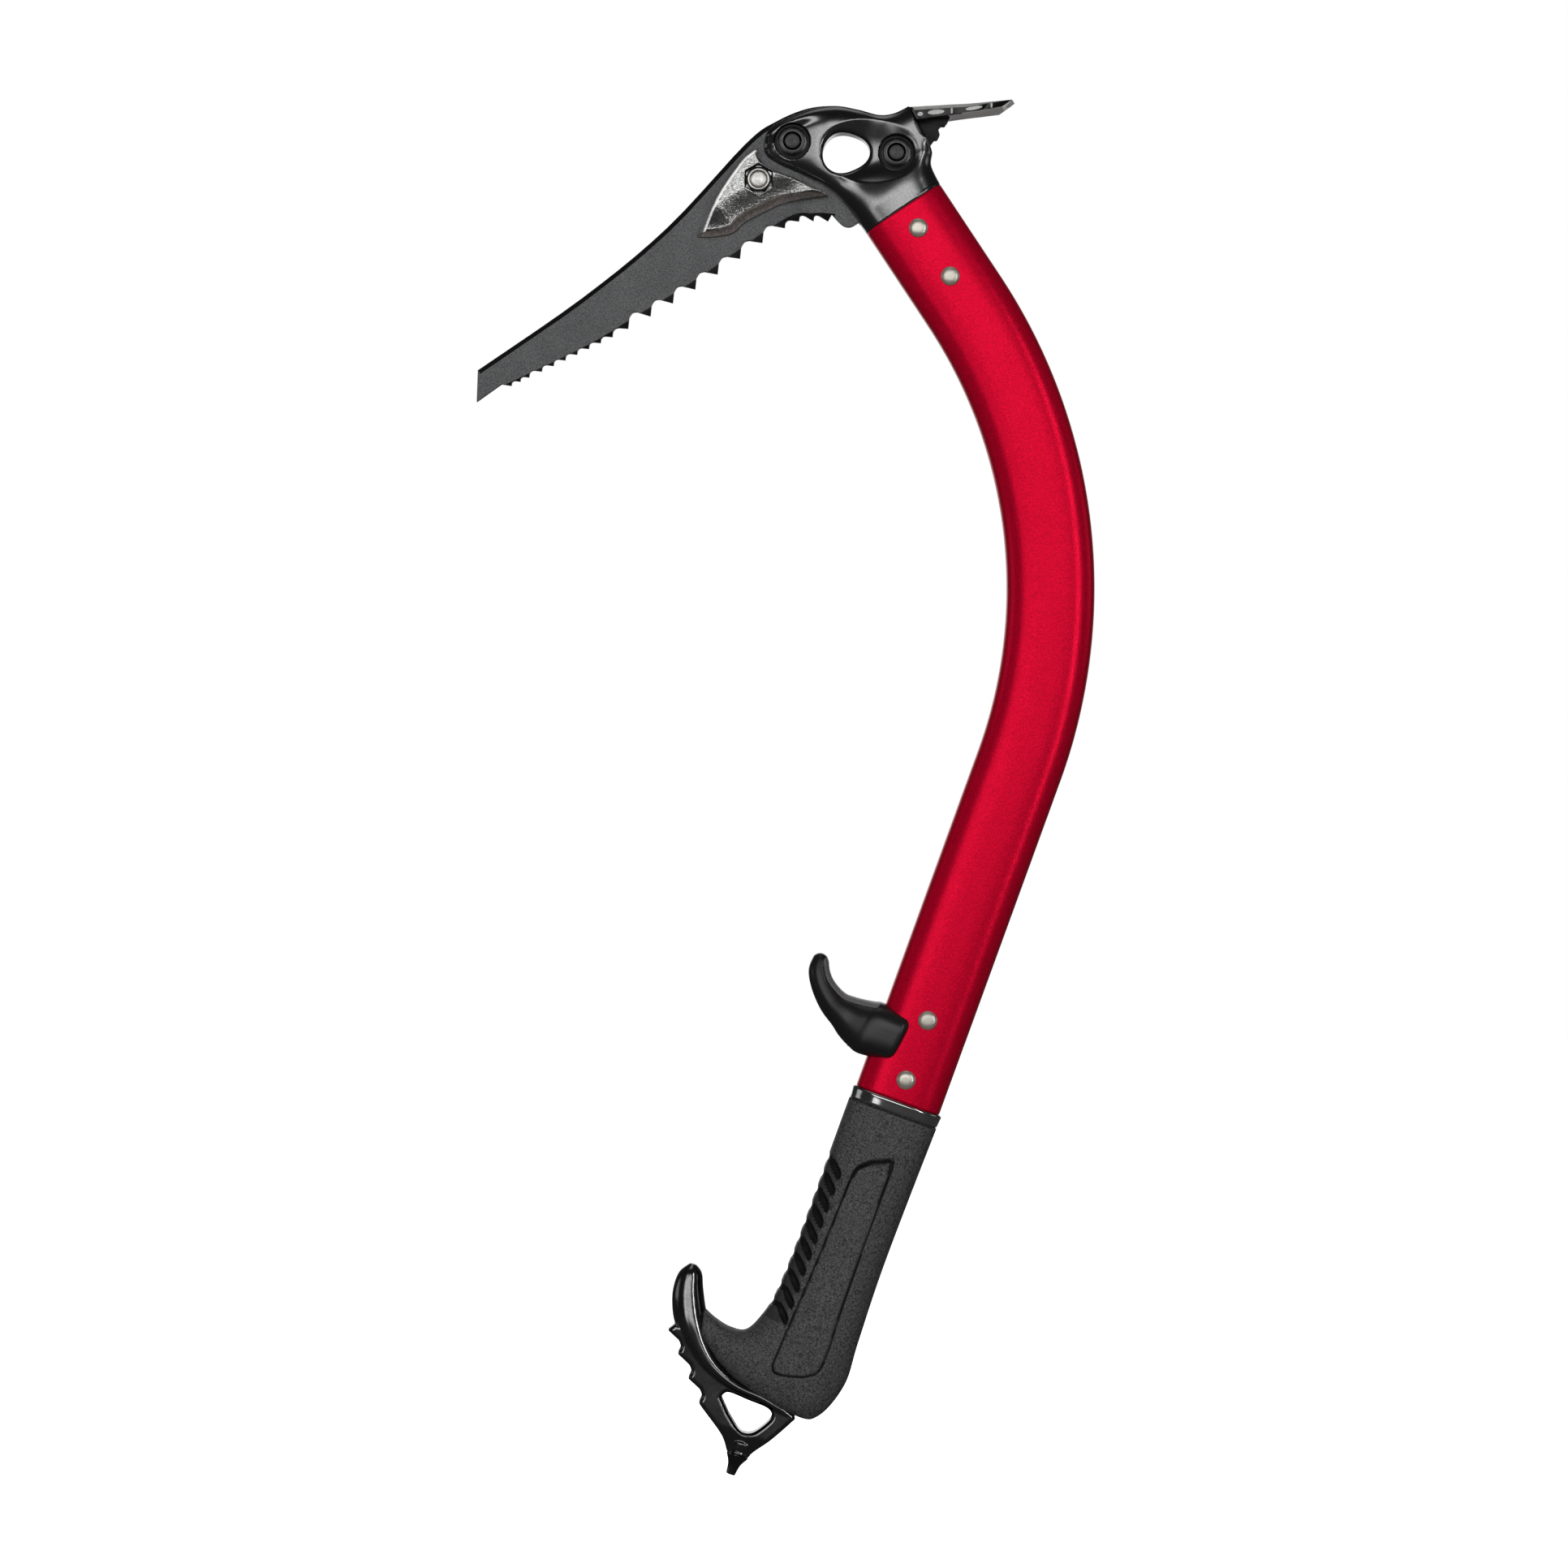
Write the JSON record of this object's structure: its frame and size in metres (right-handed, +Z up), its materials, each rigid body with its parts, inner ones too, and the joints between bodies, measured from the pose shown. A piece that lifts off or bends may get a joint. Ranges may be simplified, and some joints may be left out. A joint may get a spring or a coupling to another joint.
{
  "type": "ice climbing tool",
  "caption": "Technical ice climbing tool with a bent hollow shaft, forged head, toothed pick, small adze, pick weights, finger rest and a hooked rubber-covered handle.",
  "frame": {"origin": "centre of the clip eye in the head, on the tool's middle plane", "axes": "+Z up the tool from spike to head, +X from the pick towards the adze, +Y across the tool along the eye"},
  "size_m": [0.2244, 0.0256, 0.4987],
  "materials": {
    "red_anodised": "bead-blasted and anodised red",
    "black_forging": "polished black anodised forging",
    "pick_steel": "dark blasted steel with black bevels",
    "adze_steel": "black coated steel",
    "bolt_steel": "turned steel",
    "weight_steel": "cast and tumbled, pebbled surface",
    "rivet_steel": "smooth domed rivet",
    "black_plastic": "moulded plastic with a soft gloss",
    "dark_forging": "polished dark forging",
    "charcoal_rubber": "fine-grained moulded rubber",
    "spike_steel": "ground steel"
  },
  "bodies": {
    "tool": {"shaft": "red_anodised", "head": "black_forging", "pick": "pick_steel", "adze": "adze_steel", "pick_nut": "bolt_steel", "adze_nut": "bolt_steel", "weight_near": "weight_steel", "weight_far": "weight_steel", "weight_nut": "bolt_steel", "head_rivets": "rivet_steel", "handle_rivets": "rivet_steel", "trigger": "black_plastic", "trigger_screw": "bolt_steel", "handle_frame": "dark_forging", "grip": "charcoal_rubber", "spike": "spike_steel"},
    "pick_washer_set": {"pick_washer": "bolt_steel"},
    "pick_bolt_set": {"pick_bolt": "bolt_steel"},
    "adze_washer_set": {"adze_washer": "bolt_steel"},
    "adze_bolt_set": {"adze_bolt": "bolt_steel"},
    "weight_washer_set": {"weight_washer": "bolt_steel"},
    "weight_bolt_set": {"weight_bolt": "bolt_steel"}
  },
  "joints": [
    {"name": "pick_bolt_travel", "type": "slide", "parent": "tool", "child": "pick_washer_set", "axis": [0, 1, 0], "range_m": [0, 0.0025]},
    {"name": "pick_bolt_turn", "type": "hinge", "parent": "pick_washer_set", "child": "pick_bolt_set", "pos_m": [-0.0194, 0, 0.0041], "axis": [0, 1, 0], "range_deg": [0, 900]},
    {"name": "adze_bolt_travel", "type": "slide", "parent": "tool", "child": "adze_washer_set", "axis": [0, 1, 0], "range_m": [0, 0.0025]},
    {"name": "adze_bolt_turn", "type": "hinge", "parent": "adze_washer_set", "child": "adze_bolt_set", "pos_m": [0.0184, 0, 0], "axis": [0, 1, 0], "range_deg": [0, 900]},
    {"name": "weight_bolt_travel", "type": "slide", "parent": "tool", "child": "weight_washer_set", "axis": [0, 1, 0], "range_m": [0, 0.0025]},
    {"name": "weight_bolt_turn", "type": "hinge", "parent": "weight_washer_set", "child": "weight_bolt_set", "pos_m": [-0.0316, 0, -0.0097], "axis": [0, 1, 0], "range_deg": [0, 900]}
  ],
  "couplings": [
    {"joint": "pick_bolt_turn", "follows": "pick_bolt_travel", "rad_per_m": 6283.2},
    {"joint": "adze_bolt_turn", "follows": "adze_bolt_travel", "rad_per_m": 6283.2},
    {"joint": "weight_bolt_turn", "follows": "weight_bolt_travel", "rad_per_m": 6283.2}
  ]
}
